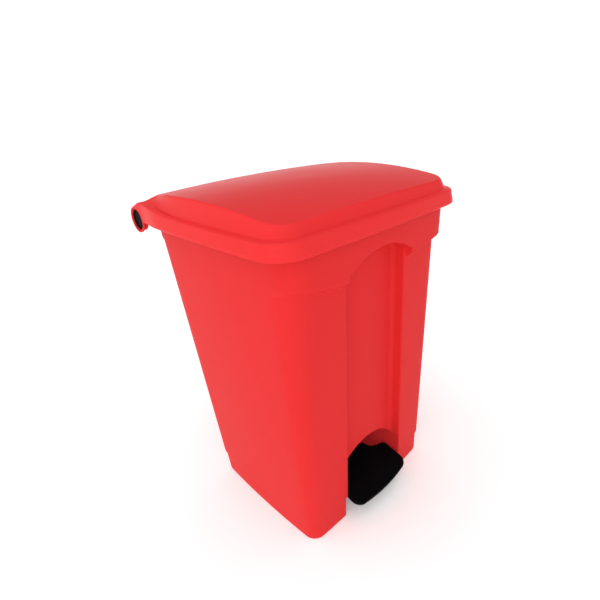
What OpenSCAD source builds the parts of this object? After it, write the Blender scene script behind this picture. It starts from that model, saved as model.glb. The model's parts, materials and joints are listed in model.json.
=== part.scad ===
// Step-on waste bin: a tapered moulded container, a domed lid that turns on two pins at the rear,
// and a foot pedal whose lever lifts the lid through a steel rod behind the rear wall.
// Axes: +X to the right, +Y to the rear, +Z up. The pedal is at the front (-Y). Floor at z = 0.

/* [Container] */
// Width across the sides at the floor
base_w = 335; // [320:1:345]
// Depth front to rear at the floor
base_d = 290; // [280:1:300]
// Width across the sides at the height of the lid's lower edge
top_w = 366; // [356:1:370]
// Depth front to rear at the height of the lid's lower edge, without the collar
top_d = 342; // [334:1:346]
// How far the collar stands in front of the ribs below it
collar_proud = 12; // [8:1:14]
// Wall thickness of the container
wall = 3; // [2.5:0.1:3.5]
// Height of the stepped plinth around the foot
plinth_h = 50; // [40:1:60]

/* [Front channel] */
// Half width of the front channel at the floor
channel_half_base = 78; // [74:1:82]
// Half width of the front channel at its top
channel_half_top = 67; // [62:1:72]
// Depth of the front channel behind the ribs
channel_depth = 22; // [18:1:26]
// Height of the crown of the arch over the channel
arch_top_z = 514; // [506:1:520]

/* [Lid] */
// Greatest width of the lid
lid_w = 410; // [406:1:414]
// Greatest depth of the whole bin, front of the lid to the rear of the hinge
overall_d = 400; // [398:1:402]
// Greatest height of the bin with the lid shut
overall_h = 600; // [590:1:610]
// Height of the lower edge of the lid's skirt
skirt_z = 541.8; // [540:0.1:543]
// Wall thickness of the lid
lid_wall = 2.6; // [2.2:0.1:3]

/* [Hinge and lift] */
// Outer radius of the hood over the hinge
hood_r = 21.5; // [21:0.1:22]
// Distance from the hinge axis to the lift rod's upper pin
lift_r = 28; // [27.5:0.1:28.5]
// Opening angle of the lid
lid_open = 70; // [60:1:72]
// Radius of the lift rod
rod_r = 3; // [2.5:0.1:3]

/* [Pedal] */
// Half width of the tread plate
tread_half_w = 74; // [68:1:74]
// Height of the top of the tread plate at its front edge
tread_front_z = 41; // [38:1:44]
// Radius of the pedal's axle
axle_r = 5; // [4:0.5:5]

/* [Hidden] */
$fn = 48;

eps = 0.01;
corner_steps = 6;
side_steps = 6;
bow = 4.5;                       // how far each long side bulges outward at its middle
body_base_y = -24;               // centre of the container's outline at the floor
body_top_y = -5.4;               // and at the height of the lid's lower edge
base_corner_r = 24;
top_corner_r = 34;
floor_z = 1.5;                   // underside of the plinth, standing on the rubber pads
tub_floor_z = 25;
channel_r = 9;                   // inner corners of the front channel
collar_low_z = 467;              // lower edge of the collar beside the channel
collar_rise = 0.17;              // how the collar's edge rises towards the corners
collar_chamfer = 12;
rim_z = 557;
rim_lip = 10;
plinth_inset = 2.5;

front_y = -overall_d / 2;
hinge_y = overall_d / 2 - hood_r;
hinge_z = 543.5;
lug_r = 19;                      // hinge lugs of the container
hood_gap = 0.4;
pin_head_r = 17;
pin_shaft_r = 8;
run_gap = 0.05;                  // running clearance of pins and axles
lug_out_x = 196;
lug_head_l = 10;
lug_neck_r = 12.5;
lug_in_x = 150;
ear_w = 6;
ear_out_x = lug_in_x - 1;

skirt_h = 22;
ledge_w = 11;
dome_drop_x = 5;                 // how far the dome falls from its centre to the sides
dome_drop_y = 15;                // and to the front and rear

rod_tilt = 5.2;                  // the lift rod leans back with the rear wall
lift_half = 35;                  // half of the angle that the upper pin sweeps
pin_angle = lift_half - rod_tilt;
lift_pin_y = hinge_y - lift_r * cos(pin_angle);
lift_pin_z = hinge_z - lift_r * sin(pin_angle);
rod_foot_z = 36;
rod_foot_y = lift_pin_y - (lift_pin_z - rod_foot_z) * tan(rod_tilt);
rod_len = (lift_pin_z - rod_foot_z) / cos(rod_tilt);
bend_r = 8;                      // radius of the rod's two bends
pin_reach = 19;                  // length of the rod's bent ends
ear_x = 11;                      // both slotted ears lie beside the rod
lid_ear_t = 5;
lever_ear_t = 7;
groove_half = 24;                // groove for the rod in the rear wall
groove_base_y = 97;
groove_top_y = 139;

axle_y = -60;
axle_z = 54;
tunnel_half = 70;
block_t = 14;
block_x = tunnel_half - block_t; // inner face of each pivot block
tunnel_rear_half = 46;
tunnel_front_y = -150;
tunnel_mouth_half = 77;           // the mouth is as wide as the channel
tunnel_inner_y = -88;
tunnel_mid_y = -20;
tunnel_spring_z = 98;
tunnel_crown_z = 131;
tunnel_rear_drop = 34;
arm_half_w = 37;
tread_tilt = 14;
tread_t = 9;

red = [0.93, 0.2, 0.2];
black = [0.03, 0.03, 0.035];
steel = [0.62, 0.63, 0.65];
rubber = [0.1, 0.1, 0.1];

// ---- outlines ----

function arc_pts(cx, cy, r, from) =
    [for (i = [0:corner_steps]) [cx + r * cos(from + 90 * i / corner_steps), cy + r * sin(from + 90 * i / corner_steps)]];

function side_pts(p, q) = [for (i = [1:side_steps - 1]) p + (q - p) * i / side_steps];

// A rounded rectangle with front corners of radius rf and rear corners of radius rr.
function rounded(w, d, rf, rr) =
    let (x = w / 2, y = d / 2)
    concat(
        arc_pts(x - rf, -y + rf, rf, -90), side_pts([x, -y + rf], [x, y - rr]),
        arc_pts(x - rr, y - rr, rr, 0), side_pts([x - rr, y], [-x + rr, y]),
        arc_pts(-x + rr, y - rr, rr, 90), side_pts([-x, y - rr], [-x, -y + rf]),
        arc_pts(-x + rf, -y + rf, rf, 180), side_pts([-x + rf, -y], [x - rf, -y]));

function bulge(u) = 1 - u * u;

// The same outline with bulging sides; w and d are its greatest width and depth.
function outline(w, d, rf, rr, yc, b = bow) =
    let (sw = w - 2 * b, sd = d - 2 * b)
    [for (p = rounded(sw, sd, rf, rr))
        let (u = 2 * p.x / sw, v = 2 * p.y / sd)
        [p.x + b * sign(u) * pow(abs(u), 3) * bulge(v), yc + p.y + b * sign(v) * pow(abs(v), 3) * bulge(u)]];

function at_z(pts, z) = [for (p = pts) [p.x, p.y, z]];

// A closed solid through a list of rings with equal numbers of points, lowest ring first.
module loft(rings) {
    n = len(rings[0]);
    m = len(rings);
    sides = [for (k = [0:m - 2], i = [0:n - 1])
        let (j = (i + 1) % n, a = k * n + i, b = k * n + j, c = (k + 1) * n + j, d = (k + 1) * n + i)
        each [[a, c, b], [a, d, c]]];
    low = [[for (i = [0:n - 1]) i]];
    high = [[for (i = [n - 1:-1:0]) (m - 1) * n + i]];
    polyhedron(points = [for (r = rings) each r], faces = concat(low, sides, high));
}

// ---- container ----

function mix(a, b, z) = a + (b - a) * z / skirt_z;

// Outline of the container at height z, grown by g, with the front moved out by f and the rear by r.
function body_ring(z, g = 0, f = 0, r = 0) =
    outline(mix(base_w, top_w, z) + 2 * g, mix(base_d, top_d, z) + 2 * g + f + r,
        mix(base_corner_r, top_corner_r, z) + g, mix(base_corner_r, top_corner_r, z) + g,
        mix(body_base_y, body_top_y, z) - f / 2 + r / 2);

// Height of the collar's lower edge, which rises from the channel to the corners.
function collar_z(x) = collar_low_z + collar_rise * max(0, abs(x) - channel_half_top);

function collar_ring(up, f) =
    let (pts = body_ring(collar_low_z + up, 0, f))
    [for (p = pts) [p.x, p.y, collar_z(p.x) + up]];

module body_outer() {
    loft([
        at_z(body_ring(floor_z, -plinth_inset), floor_z),
        at_z(body_ring(plinth_h, -plinth_inset), plinth_h),
        at_z(body_ring(plinth_h + 3), plinth_h + 3),
        collar_ring(0, 0),
        collar_ring(collar_chamfer, collar_proud),
        at_z(body_ring(511, 0, collar_proud), 511),
        at_z(body_ring(515, 0, collar_proud, 4), 515),
        at_z(body_ring(524, 0, collar_proud, 4), 524),
        at_z(body_ring(528, 0, collar_proud, 6), 528),
        at_z(body_ring(rim_z - 12, 0, collar_proud - 2, 0), rim_z - 12),
        at_z(body_ring(rim_z - 7, rim_lip, collar_proud - 8, -18), rim_z - 7),
        at_z(body_ring(rim_z, rim_lip, collar_proud - 8, -18), rim_z)
    ]);
}

module body_inner() {
    loft([
        at_z(body_ring(tub_floor_z, -wall), tub_floor_z),
        at_z(body_ring(collar_low_z + 6, -wall), collar_low_z + 6),
        at_z(body_ring(collar_low_z + 26, -wall, collar_proud), collar_low_z + 26),
        at_z(body_ring(rim_z + 1, -wall, collar_proud - 4, -8), rim_z + 1)
    ]);
}

// Outline of the channel, with faces that bulge very slightly.
function channel_ring(half, y0, y1) = outline(2 * half, y1 - y0, channel_r, channel_r, (y0 + y1) / 2, 0.5);

// The front channel: a tapered box with rounded inner corners under a round arch, grown by g.
module front_channel(g = 0) {
    back_base = body_base_y - base_d / 2 + channel_depth - 2 + g;
    back_top = body_top_y - top_d / 2 + channel_depth + 2 + g;
    mouth_y = front_y - 30;
    top_z = arch_top_z + g;
    z0 = floor_z - 2 - (g > 0 ? 0 : 0.5);
    intersection() {
        loft([
            at_z(channel_ring(channel_half_base + g, mouth_y, back_base), z0),
            at_z(channel_ring(channel_half_top + g, mouth_y, back_top), top_z + 1)
        ]);
        translate([0, front_y + overall_d / 4, 0])
        rotate([90, 0, 0])
        linear_extrude(height = overall_d, center = true)
        arch_profile(100, arch_top_z - 25 + g, arch_top_z + g, z0);
    }
    // The collar's wider opening around the arch.
    if (g == 0)
        translate([0, front_y, 0])
        rotate([90, 0, 0])
        linear_extrude(height = 2 * (back_top - front_y - channel_depth - 4), center = true)
        arch_profile(channel_half_top + 5.5, arch_top_z - 25, arch_top_z, collar_low_z - 5);
    // The plinth's step runs round the sides of the channel too.
    if (g == 0)
        translate([-channel_half_base - plinth_inset, mouth_y, -1])
        cube([2 * (channel_half_base + plinth_inset), back_base - 8 - mouth_y, plinth_h + 1]);
}

// Half a round arch on straight legs, in the plane of the page: crown at top_z, springing at spring_z.
module arch_profile(half, spring_z, top_z, low_z) {
    rise = top_z - spring_z;
    arc_r = (half * half + rise * rise) / (2 * rise);
    translate([-half, low_z])
        square([2 * half, spring_z - low_z + eps]);
    intersection() {
        translate([0, top_z - arc_r])
            circle(r = arc_r, $fn = 120);
        translate([-half, spring_z])
            square([2 * half, rise + 1]);
    }
}

// One arched cross-section of the lever tunnel at depth y.
function tunnel_ring(y, half, spring, crown, g, low) =
    let (h = half + g, s = spring, rise = crown + g - s, r = (h * h + rise * rise) / (2 * rise), a = asin(h / r), n = 14)
    concat([[-h, y, low], [h, y, low]],
        [for (i = [0:n]) [r * sin(a - 2 * a * i / n), y, crown + g - r + r * cos(a - 2 * a * i / n)]]);

// The tunnel that the pedal lever passes through, grown by g.
module tunnel(g = 0) {
    low = g > 0 ? floor_z - 1 : -2;
    rear_y = overall_d;
    loft([
        tunnel_ring(rear_y, tunnel_rear_half, tunnel_spring_z - tunnel_rear_drop, tunnel_crown_z - tunnel_rear_drop, g, low),
        tunnel_ring(tunnel_mid_y + 60, tunnel_rear_half, tunnel_spring_z - tunnel_rear_drop, tunnel_crown_z - tunnel_rear_drop, g, low),
        tunnel_ring(tunnel_mid_y, tunnel_half, tunnel_spring_z, tunnel_crown_z, g, low),
        tunnel_ring(tunnel_inner_y, tunnel_half, tunnel_spring_z, tunnel_crown_z, g, low),
        tunnel_ring(tunnel_front_y, tunnel_mouth_half, tunnel_spring_z - 10, tunnel_crown_z, g, low),
        tunnel_ring(tunnel_front_y - 40, tunnel_mouth_half, tunnel_spring_z - 10, tunnel_crown_z, g, low)
    ]);
}

// The groove in the rear wall that the lift rod runs in, grown by g.
module rod_groove(g = 0) {
    h = groove_half + g;
    low = -2;
    high = rim_z + 5;
    y0 = groove_base_y - g;
    y1 = groove_top_y - g + 2;
    far = overall_d;
    loft([
        [[-h, y0, low], [h, y0, low], [h, far, low], [-h, far, low]],
        [[-h, y1, high], [h, y1, high], [h, far, high], [-h, far, high]]
    ]);
}

module hinge_lug(side) {
    mid = side * (lug_out_x + lug_in_x) / 2;
    translate([mid, hinge_y, hinge_z])
    rotate([0, 90, 0])
        cylinder(r = lug_neck_r, h = lug_out_x - lug_in_x, center = true, $fn = 64);
    // The wide end that the lid's hood wraps over.
    translate([side * (lug_out_x - lug_head_l / 2), hinge_y, hinge_z])
    rotate([0, 90, 0])
        cylinder(r = lug_r, h = lug_head_l, center = true, $fn = 64);
    // Web from the lug down to the rear ledge.
    lug_web(side);
}

module lug_web(side) {
    x0 = side > 0 ? lug_in_x : -lug_in_x - 8;
    translate([x0, 0, 0])
    rotate([90, 0, 90])
    linear_extrude(height = 8)
        polygon([[157, 512], [hinge_y - 2, 525.5], [hinge_y - 2, hinge_z], [hinge_y - lug_r + 2, hinge_z],
            [157, 535]]);
}

// Where the wall is, height by height, for pieces screwed to the rear.
function rear_y(z) = mix(body_base_y, body_top_y, z) + mix(base_d, top_d, z) / 2;

guide_z = [250, 440];
guide_screw_x = 34;
guide_gap = 0.05;                // the guides rest on the wall's bulge
guide_plate_t = 4;
guide_tilt = atan((top_d - base_d) / 2 / skirt_z + (body_top_y - body_base_y) / skirt_z);
block_screw_y = [axle_y - 13, axle_y + 13];

// Places its children on the rear wall at height z, with +Y pointing out of the wall.
module on_rear(x, z) {
    translate([x, rear_y(z), z])
    rotate([-guide_tilt, 0, 0])
        children();
}

module container() {
    color(red)
    difference() {
        union() {
            difference() {
                body_outer();
                front_channel();
                tunnel();
                rod_groove();
                // Hollow under the floor, inside the plinth.
                difference() {
                    loft([
                        at_z(body_ring(floor_z, -plinth_inset - wall), floor_z - 3),
                        at_z(body_ring(tub_floor_z - wall, -plinth_inset - wall), tub_floor_z - wall)
                    ]);
                    front_channel(wall);
                    tunnel(wall);
                    rod_groove(wall);
                }
                // The inside of the container.
                difference() {
                    body_inner();
                    front_channel(wall);
                    tunnel(wall);
                    rod_groove(wall);
                }
            }
            hinge_lug(-1);
            hinge_lug(1);
            // Screw bosses inside the rear wall.
            for (z = guide_z, s = [-1, 1])
                on_rear(s * guide_screw_x, z)
                translate([0, -1, 0])
                rotate([90, 0, 0])
                    cylinder(r = 5, h = 11);
            // Pads on the tunnel's sides behind the pivot blocks.
            for (s = [-1, 1])
                translate([s * (tunnel_half + 1), axle_y, axle_z])
                rotate([0, s * 90, 0])
                    cylinder(r = 22, h = 8);
        }
        // Room for the lid's ears.
        for (s = [-1, 1])
            translate([s * (ear_out_x - ear_w / 2), hinge_y, hinge_z])
            rotate([0, 90, 0])
                cylinder(r = lug_r + 2, h = ear_w + 2, center = true);
        // Bores for the hinge pins.
        for (s = [-1, 1])
            translate([s * lug_out_x, hinge_y, hinge_z])
            rotate([0, -s * 90, 0]) {
                translate([0, 0, -1])
                    cylinder(r = pin_head_r, h = 6);
                cylinder(r = pin_shaft_r, h = 60);
            }
        // Pilot holes for the rear screws.
        for (z = guide_z, s = [-1, 1])
            on_rear(s * guide_screw_x, z)
            translate([0, 2, 0])
            rotate([90, 0, 0])
                cylinder(r = 2, h = 12);
        // Pilot holes for the pivot blocks' screws.
        for (s = [-1, 1], y = block_screw_y)
            translate([s * (tunnel_half - 1), y, axle_z + 12])
            rotate([0, s * 90, 0])
                cylinder(r = 2, h = 7.5);
        // Seats for the rubber pads.
        for (p = pad_places)
            translate([p.x, p.y, floor_z - 1])
                cylinder(r = pad_r, h = 2.5);
    }
    // Pads' webs in the plinth's corners.
    color(red)
    for (p = pad_places)
        translate([p.x, p.y, floor_z + 1.5])
            cylinder(r = pad_r + 2.5, h = tub_floor_z - wall - floor_z - 1.5 + 0.5);
}

pad_r = 10;
pad_places = [
    [-base_w / 2 + 22, body_base_y - base_d / 2 + 22],
    [base_w / 2 - 22, body_base_y - base_d / 2 + 22],
    [-base_w / 2 + 22, body_base_y + base_d / 2 - 22],
    [base_w / 2 - 22, body_base_y + base_d / 2 - 22]];

module floor_pads() {
    color(rubber)
    for (p = pad_places)
        translate([p.x, p.y, 0])
            cylinder(r = pad_r, h = floor_z + 1.5);
}

// ---- lid ----

lid_d = hinge_y - front_y;               // from the front edge back to the hinge axis
lid_y = (hinge_y + front_y) / 2;
dome_y = -8;                             // highest point of the dome

function dome_z(p) = overall_h - dome_drop_x * pow(p.x / 180, 2) - dome_drop_y * pow((p.y - dome_y) / 165, 2);

function lid_ring(inset, grow = 0) =
    outline(lid_w - 2 * inset, lid_d - 2 * inset, max(8, 42 - 0.6 * inset), max(3, 10 - 0.2 * inset), lid_y);

// A ring of the dome's top, lowered by drop.
function dome_ring(inset, drop) = [for (p = lid_ring(inset)) [p.x, p.y, dome_z(p) - drop]];

module lid_skin(t) {
    ledge_z = skirt_z + skirt_h;
    loft([
        at_z(lid_ring(t), skirt_z - (t > 0 ? 1 : 0)),
        at_z(lid_ring(t), skirt_z + 4 - t / 2),
        at_z(lid_ring(2 + t), skirt_z + 6 - t / 2),
        at_z(lid_ring(3 + t), ledge_z - 2 - t),
        at_z(lid_ring(5 + t), ledge_z - t),
        at_z(lid_ring(ledge_w + t), ledge_z + 1 - t),
        dome_ring(ledge_w + 3 + t, 9 + t),
        dome_ring(ledge_w + 9 + t, 3 + t),
        dome_ring(ledge_w + 18 + t, 0.8 + t),
        dome_ring(55, 0.2 + t),
        dome_ring(100, 0.1 + t),
        at_z(lid_ring(150), overall_h - 0.6 - t)
    ]);
}

// The curved hood that wraps over the hinge lugs, from the lid's top round to the rear.
module hood(low_angle, high_angle, x_half) {
    intersection() {
        translate([0, hinge_y, hinge_z])
        rotate([90, 0, 90])
        difference() {
            cylinder(r = hood_r, h = 2 * x_half, center = true, $fn = 96);
            cylinder(r = lug_r + hood_gap, h = 2 * x_half + 2, center = true, $fn = 96);
        }
        translate([0, hinge_y, hinge_z])
        rotate([90, 0, 90])
        linear_extrude(height = 2 * x_half, center = true)
            polygon(concat([[0, 0]],
                [for (i = [0:8]) let (a = low_angle + (high_angle - low_angle) * i / 8) [40 * cos(a), 40 * sin(a)]]));
    }
}

bracket_y = lift_pin_y - 4;
bracket_top_z = 562;
bracket_t = 3;
bracket_screw_x = 19;

module lid() {
    hood_half = 197;
    color(red)
    difference() {
        union() {
            difference() {
                lid_skin(0);
                lid_skin(lid_wall);
                // Room for the hinge lugs and the container's rear edge.
                translate([-lug_out_x - 1.2, hinge_y - 40, skirt_z - 10])
                    cube([2 * (lug_out_x + 1.2), 60, bracket_top_z - skirt_z + 10]);
                translate([0, hinge_y, hinge_z])
                rotate([0, 90, 0])
                    cylinder(r = lug_r + hood_gap, h = 2 * lug_out_x + 2.4, center = true, $fn = 96);
                // The skirt stops in front of the plugs.
                for (s = [-1, 1])
                    translate([s * (hood_half + 10), hinge_y + 19.5, hinge_z])
                        cube([20, 80, 80], center = true);
            }
            hood(-10, 150, hood_half);
            // Ears that carry the pins.
            for (s = [-1, 1])
                translate([s * (ear_out_x - ear_w / 2), hinge_y, hinge_z])
                rotate([0, 90, 0])
                    cylinder(r = lug_r + hood_gap + 0.5, h = ear_w, center = true, $fn = 96);
            // Pads for the lift bracket's screws.
            intersection() {
                lid_skin(1);
                for (s = [-1, 1])
                    translate([s * bracket_screw_x, bracket_y, bracket_top_z])
                        cylinder(r = 6, h = 30);
            }
        }
        for (s = [-1, 1])
            translate([s * (ear_out_x - ear_w / 2), hinge_y, hinge_z])
            rotate([0, 90, 0])
                cylinder(r = pin_shaft_r + run_gap, h = ear_w + 2, center = true);
        for (s = [-1, 1])
            translate([s * bracket_screw_x, bracket_y, bracket_top_z - 1])
                cylinder(r = 1.8, h = 8);
    }
}

module hinge_pin(side) {
    color(black)
    translate([side * (lug_out_x - 1), hinge_y, hinge_z])
    rotate([0, -side * 90, 0])
    rotate_extrude()
        polygon([[0, 0], [pin_head_r - 1.5, 0], [pin_head_r, 1.2], [pin_head_r, 4], [pin_shaft_r, 4],
            [pin_shaft_r, 58], [pin_shaft_r - 2, 61], [0, 61]]);
}

module hinge_pin_left() {
    hinge_pin(-1);
}

module hinge_pin_right() {
    hinge_pin(1);
}

module lid_buffers() {
    color(rubber)
    for (s = [-1, 1])
        translate([s * 60, front_y + 11.6, rim_z])
            cylinder(r1 = 2.2, r2 = 1.8, h = skirt_z + skirt_h - lid_wall - rim_z - 0.4);
}

// ---- lift bracket, rod and guides ----

module screw(head_r, head_h, shank_r, shank_l) {
    rotate_extrude($fn = 32)
        polygon([[0, 0], [head_r - 0.6, 0], [head_r, 0.6], [head_r, head_h], [shank_r, head_h],
            [shank_r, shank_l - 2], [0, shank_l]]);
}

module lid_bracket() {
    color(steel)
    difference() {
        union() {
            translate([-30, bracket_y - 9, bracket_top_z - bracket_t])
                cube([60, 18, bracket_t]);
            translate([ear_x - lid_ear_t / 2, 0, 0])
            rotate([90, 0, 90])
            linear_extrude(height = lid_ear_t)
                hull() {
                    translate([bracket_y, bracket_top_z - 2])
                        square([16, 4], center = true);
                    translate([hinge_y - lift_r * cos(pin_angle), lift_pin_z])
                        circle(r = 7.6, $fn = 32);
                    translate([hinge_y - (lift_r - 5) * cos(pin_angle), hinge_z - (lift_r - 5) * sin(pin_angle)])
                        circle(r = 7.6, $fn = 32);
                }
        }
        // The slot that the rod's upper pin slides in.
        slot_half = rod_r + 1.2;
        for (d = [0, 5.1])
            translate([ear_x, hinge_y - (lift_r - d) * cos(pin_angle), hinge_z - (lift_r - d) * sin(pin_angle)])
            rotate([0, 90, 0])
                cylinder(r = slot_half, h = lid_ear_t + 2, center = true, $fn = 32);
        translate([ear_x, hinge_y - (lift_r - 2.55) * cos(pin_angle), hinge_z - (lift_r - 2.55) * sin(pin_angle)])
        rotate([pin_angle, 0, 0])
            cube([lid_ear_t + 2, 5.1, 2 * slot_half], center = true);
        for (s = [-1, 1])
            translate([s * bracket_screw_x, bracket_y, bracket_top_z - bracket_t - 1])
                cylinder(r = 2.3, h = bracket_t + 2);
    }
}

module lid_bracket_screws() {
    color(steel)
    for (s = [-1, 1])
        translate([s * bracket_screw_x, bracket_y, bracket_top_z - bracket_t - 2])
            screw(3.8, 2, 1.8, 10);
}

// The rod lies along local +Z from the foot pin to the upper pin, and both ends turn towards +X.
module lift_rod() {
    color(steel)
    translate([0, rod_foot_y, rod_foot_z])
    rotate([-rod_tilt, 0, 0]) {
        translate([0, 0, bend_r])
            cylinder(r = rod_r, h = rod_len - 2 * bend_r, $fn = 32);
        for (k = [0, 1])
            translate([0, 0, k * rod_len])
            mirror([0, 0, k]) {
                translate([bend_r, 0, bend_r])
                rotate([90, 0, 0])
                rotate_extrude(angle = 90, $fn = 32)
                translate([-bend_r, 0])
                    circle(r = rod_r);
                translate([bend_r, 0, 0])
                rotate([0, 90, 0])
                    cylinder(r = rod_r, h = pin_reach - bend_r, $fn = 32);
            }
    }
}

// A push-on cap on the end of the rod's pin.
module rod_clip(y, z) {
    color(black)
    translate([ear_x + 4.6, y, z])
    rotate([0, 90, 0])
    difference() {
        cylinder(r = 5.2, h = pin_reach - ear_x - 4.6 + 1);
        translate([0, 0, -1])
            cylinder(r = rod_r, h = pin_reach - ear_x - 4.6 + 1);
    }
}

module rod_clip_upper() {
    rod_clip(lift_pin_y, lift_pin_z);
}

module rod_clip_lower() {
    rod_clip(rod_foot_y, rod_foot_z);
}

function rod_y(z) = rod_foot_y + (z - rod_foot_z) * tan(rod_tilt);

// A guide that bridges the groove and holds the rod.
module rod_guide(z) {
    color(black)
    difference() {
        on_rear(0, z)
            union() {
                translate([-44, guide_gap, -11])
                    cube([88, guide_plate_t, 22]);
                translate([-8, rod_y(z) - rear_y(z) - 6.5, -9])
                    cube([16, rear_y(z) - rod_y(z) + 7, 18]);
            }
        translate([0, rod_y(z), z])
        rotate([-rod_tilt, 0, 0])
            cylinder(r = rod_r + 0.4, h = 60, center = true, $fn = 32);
        for (s = [-1, 1])
            on_rear(s * guide_screw_x, z)
            translate([0, 8, 0])
            rotate([90, 0, 0])
                cylinder(r = 2.3, h = 12);
    }
}

module rod_guide_upper() {
    rod_guide(guide_z[1]);
}

module rod_guide_lower() {
    rod_guide(guide_z[0]);
}

module rod_guide_screws() {
    color(steel)
    for (z = guide_z, s = [-1, 1])
        on_rear(s * guide_screw_x, z)
        translate([0, guide_gap + guide_plate_t + 2.2, 0])
        rotate([90, 0, 0])
            screw(4, 2.2, 2, 14);
}

// ---- pedal ----

module pedal() {
    front_edge = front_y + 1;
    color(black)
    difference() {
        union() {
            // Tread plate, tipped down towards the front.
            translate([0, front_edge, tread_front_z])
            rotate([tread_tilt, 0, 0])
            translate([0, 0, -tread_t])
            linear_extrude(height = tread_t)
                hull() {
                    for (s = [-1, 1]) {
                        translate([s * (tread_half_w - 20), 24])
                            circle(r = 20);
                        translate([s * (tread_half_w - 12), 58])
                            circle(r = 12);
                    }
                    polygon([for (i = [-6:6]) [9 * i, 4 * pow(i / 6, 2)]]);
                }
            // Arm back to the axle, and the lever behind it.
            translate([0, 0, axle_z - 10])
            linear_extrude(height = 14)
                polygon([[-54, front_edge + 63], [54, front_edge + 63], [42, front_edge + 74],
                    [arm_half_w, front_edge + 84], [arm_half_w, axle_y + 12], [-arm_half_w, axle_y + 12],
                    [-arm_half_w, front_edge + 84], [-42, front_edge + 74]]);
            translate([0, axle_y, axle_z])
            rotate([0, 90, 0])
                cylinder(r = 13, h = 2 * arm_half_w, center = true);
            translate([ear_x - lever_ear_t / 2, 0, 0])
            rotate([90, 0, 90])
            linear_extrude(height = lever_ear_t)
                hull() {
                    translate([axle_y, axle_z])
                        circle(r = 12, $fn = 32);
                    translate([rod_foot_y + 1.2, rod_foot_z])
                        circle(r = 9, $fn = 32);
                }
            translate([-ear_x - lever_ear_t / 2, 0, 0])
            rotate([90, 0, 90])
            linear_extrude(height = lever_ear_t)
                hull() {
                    translate([axle_y, axle_z])
                        circle(r = 12, $fn = 32);
                    translate([rod_foot_y - 30, rod_foot_z + 3])
                        circle(r = 8, $fn = 32);
                }
            translate([-ear_x, rod_foot_y - 36, rod_foot_z - 3])
                cube([2 * ear_x, 8, 12]);
        }
        // Bore for the axle, which turns with the pedal.
        translate([0, axle_y, axle_z])
        rotate([0, 90, 0])
            cylinder(r = axle_r, h = 200, center = true);
        // The slot that the rod's lower pin slides in.
        for (d = [0, 2.6])
            translate([ear_x, rod_foot_y + d, rod_foot_z])
            rotate([0, 90, 0])
                cylinder(r = rod_r + 0.5, h = lever_ear_t + 2, center = true, $fn = 32);
        translate([ear_x, rod_foot_y + 1.3, rod_foot_z])
            cube([lever_ear_t + 2, 2.6, 2 * rod_r + 1], center = true);
    }
}

module pedal_axle() {
    color(steel)
    translate([0, axle_y, axle_z])
    rotate([0, 90, 0])
        cylinder(r = axle_r, h = 2 * (tunnel_half - 1), center = true);
}

module pivot_block(side) {
    color(black)
    translate([side * (block_x + block_t), axle_y, axle_z])
    rotate([0, -side * 90, 0])
    difference() {
        translate([side > 0 ? -14 : -20, -20, 0])
            cube([34, 40, block_t]);
        translate([0, 0, -1])
            cylinder(r = axle_r + run_gap, h = block_t + 2);
        for (y = block_screw_y)
            translate([side * 12, y - axle_y, -1])
                cylinder(r = 2.3, h = block_t + 2);
    }
}

module pivot_block_left() {
    pivot_block(-1);
}

module pivot_block_right() {
    pivot_block(1);
}

module pivot_block_screws() {
    color(steel)
    for (s = [-1, 1], y = block_screw_y)
        translate([s * (block_x - 2.2), y, axle_z + 12])
        rotate([0, s * 90, 0])
            screw(4, 2.2, 2, 22);
}

module axle_clip(side) {
    color(steel)
    translate([side * (block_x - 1.2), axle_y, axle_z])
    rotate([0, 90, 0])
    difference() {
        cylinder(r = 8, h = 1.6, center = true, $fn = 32);
        cylinder(r = axle_r, h = 3, center = true, $fn = 32);
    }
}

module axle_clip_left() {
    axle_clip(-1);
}

module axle_clip_right() {
    axle_clip(1);
}

container();
lid();
hinge_pin_left();
hinge_pin_right();
pedal();
pedal_axle();
pivot_block_left();
pivot_block_right();
pivot_block_screws();
axle_clip_left();
axle_clip_right();
lift_rod();
rod_clip_upper();
rod_clip_lower();
lid_bracket();
lid_bracket_screws();
rod_guide_upper();
rod_guide_lower();
rod_guide_screws();
lid_buffers();
floor_pads();
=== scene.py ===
import json
import math
import bmesh
import bpy
import numpy as np
from mathutils import Matrix, Vector


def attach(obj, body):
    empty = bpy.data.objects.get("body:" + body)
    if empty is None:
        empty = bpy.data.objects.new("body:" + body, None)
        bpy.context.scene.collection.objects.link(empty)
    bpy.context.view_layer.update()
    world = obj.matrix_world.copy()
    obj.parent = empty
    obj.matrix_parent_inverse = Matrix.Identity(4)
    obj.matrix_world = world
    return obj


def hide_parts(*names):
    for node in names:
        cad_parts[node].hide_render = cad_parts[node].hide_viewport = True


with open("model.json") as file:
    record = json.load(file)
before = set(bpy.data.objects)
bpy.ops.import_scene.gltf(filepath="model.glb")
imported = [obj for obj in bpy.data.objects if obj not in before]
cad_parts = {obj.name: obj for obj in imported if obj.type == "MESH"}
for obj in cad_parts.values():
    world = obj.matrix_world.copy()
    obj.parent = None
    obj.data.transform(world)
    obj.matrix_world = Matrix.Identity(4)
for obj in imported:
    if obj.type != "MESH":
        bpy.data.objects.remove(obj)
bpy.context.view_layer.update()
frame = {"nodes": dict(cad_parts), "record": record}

MM = 0.001
scene = bpy.context.scene

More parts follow.
